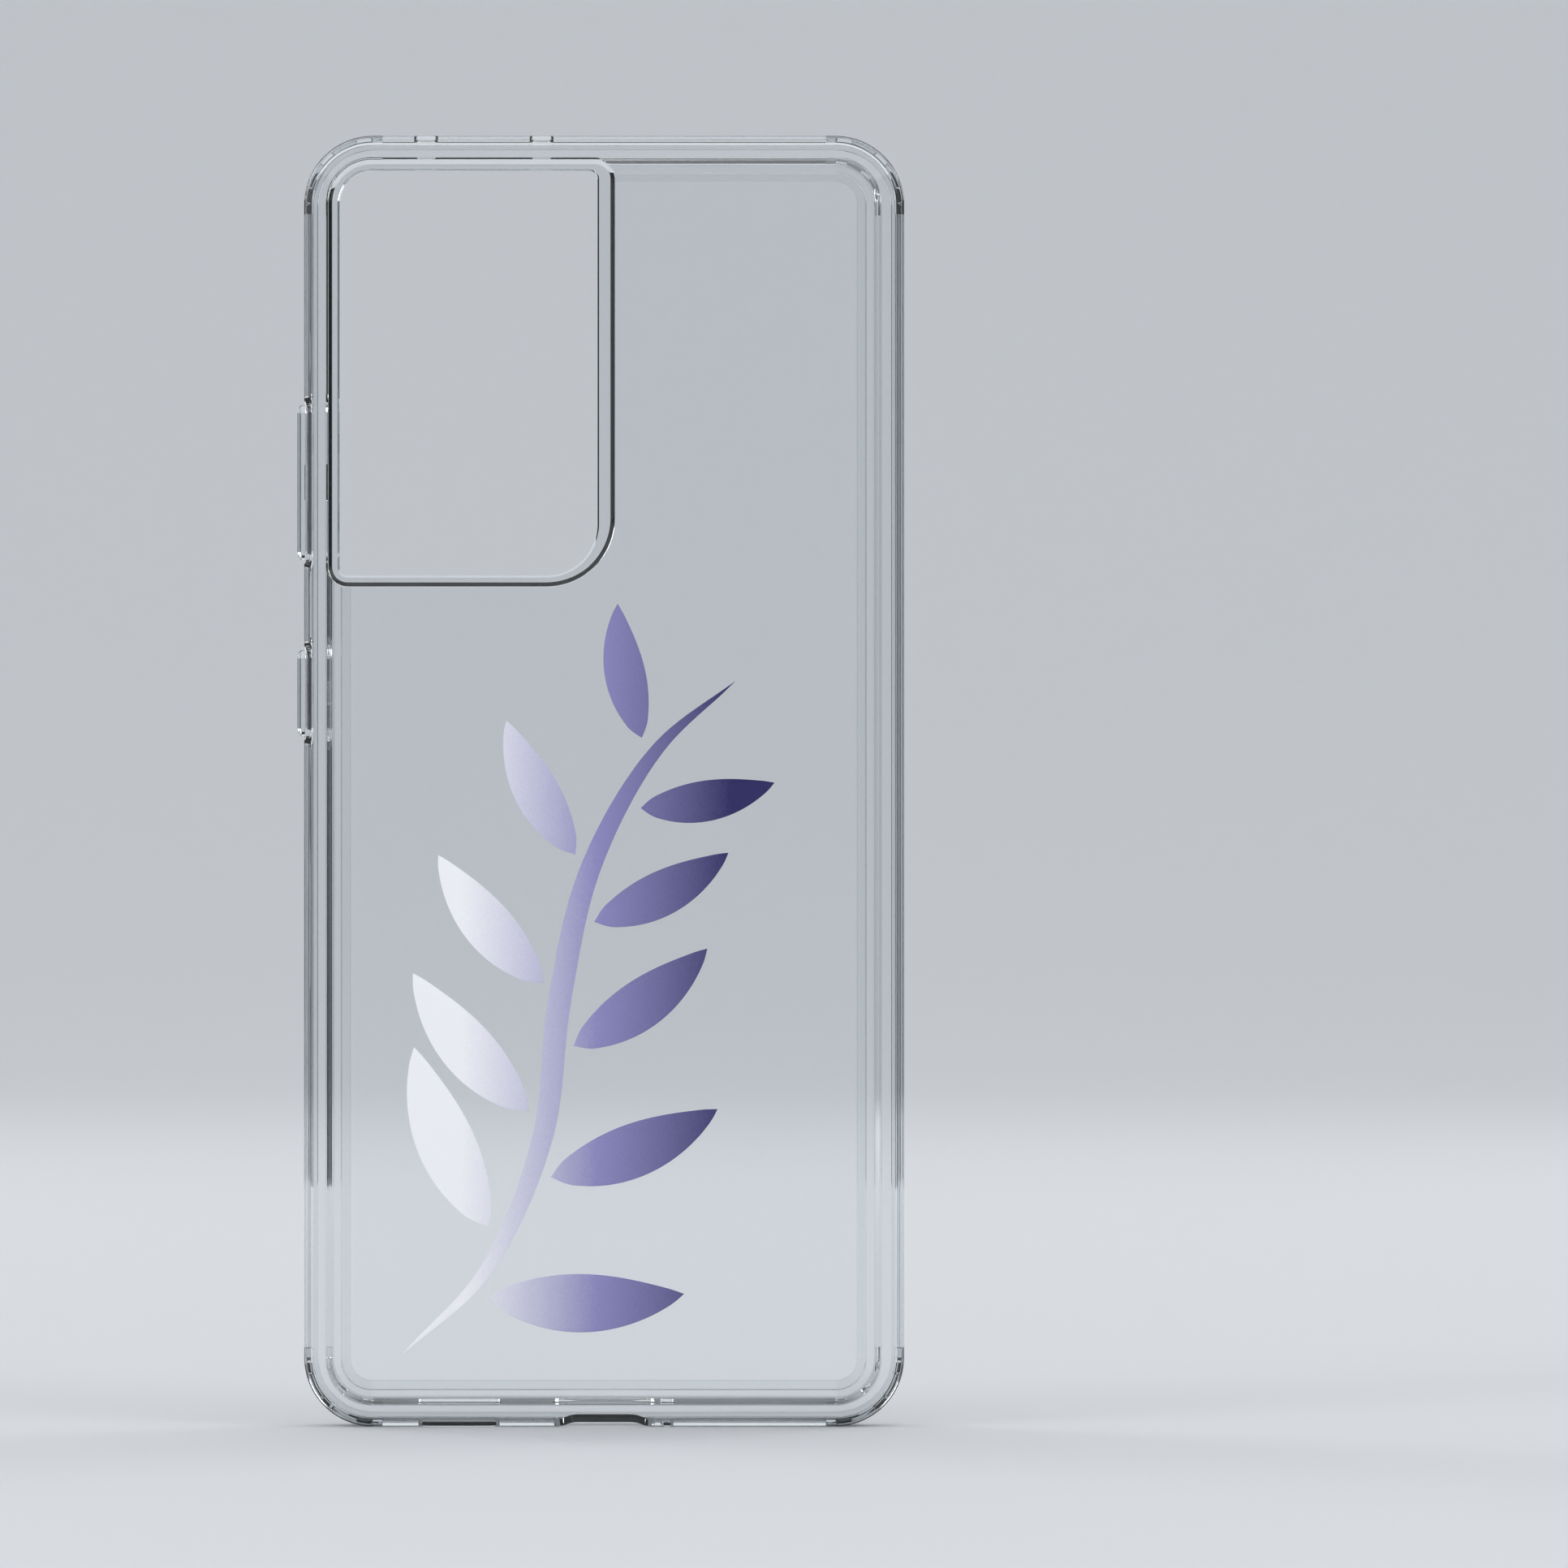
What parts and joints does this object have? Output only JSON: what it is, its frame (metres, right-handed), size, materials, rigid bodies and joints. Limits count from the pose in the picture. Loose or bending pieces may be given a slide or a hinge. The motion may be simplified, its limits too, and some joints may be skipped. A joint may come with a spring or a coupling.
{
  "type": "phone case",
  "caption": "Clear slim phone case with a soft bumper, hard back, raised camera bezel, pressable side buttons and a printed leaf sprig.",
  "frame": {"origin": "bottom centre of the overall box, at the port end; the case is stored upright, as its phone holds it", "axes": "+Z along the case to the camera end, +Y out of the printed back, -Y out of the open screen side, +X to the button side"},
  "size_m": [0.0794, 0.013, 0.1686],
  "materials": {
    "clear_tpu": "clear moulded TPU, glossy",
    "clear_polycarbonate": "clear hard polycarbonate, polished",
    "print_ink_white": "cured print ink, semi-gloss, white fading to lavender",
    "print_ink_lavender": "cured print ink, semi-gloss, lavender",
    "print_ink_indigo": "cured print ink, semi-gloss, lavender fading to indigo"
  },
  "bodies": {
    "case_shell": {"bumper_frame": "clear_tpu", "back_panel": "clear_polycarbonate", "camera_bezel": "clear_tpu", "corner_cushion_bottom_button_side": "clear_tpu", "corner_cushion_bottom_plain_side": "clear_tpu", "corner_cushion_top_button_side": "clear_tpu", "corner_cushion_top_plain_side": "clear_tpu", "volume_button_web": "clear_tpu", "power_button_web": "clear_tpu", "print_stem": "print_ink_lavender", "print_leaf_plain_side_1": "print_ink_indigo", "print_leaf_plain_side_2": "print_ink_indigo", "print_leaf_plain_side_3": "print_ink_indigo", "print_leaf_plain_side_4": "print_ink_indigo", "print_leaf_plain_side_5": "print_ink_indigo", "print_leaf_button_side_1": "print_ink_white", "print_leaf_button_side_2": "print_ink_white", "print_leaf_button_side_3": "print_ink_white", "print_leaf_button_side_4": "print_ink_white", "print_leaf_button_side_5": "print_ink_white"},
    "volume_rocker": {"volume_button": "clear_tpu"},
    "power_key": {"power_button": "clear_tpu"}
  },
  "joints": [
    {"name": "volume_rock", "type": "hinge", "parent": "case_shell", "child": "volume_rocker", "pos_m": [0.038, -0.00097, 0.12335], "axis": [0, 1, 0], "range_deg": [-2.2, 2.2], "stiffness_Nm_per_rad": 0.2},
    {"name": "power_press", "type": "slide", "parent": "case_shell", "child": "power_key", "axis": [-1, 0, 0], "range_m": [0, 0.0004], "stiffness_N_per_m": 1500}
  ]
}
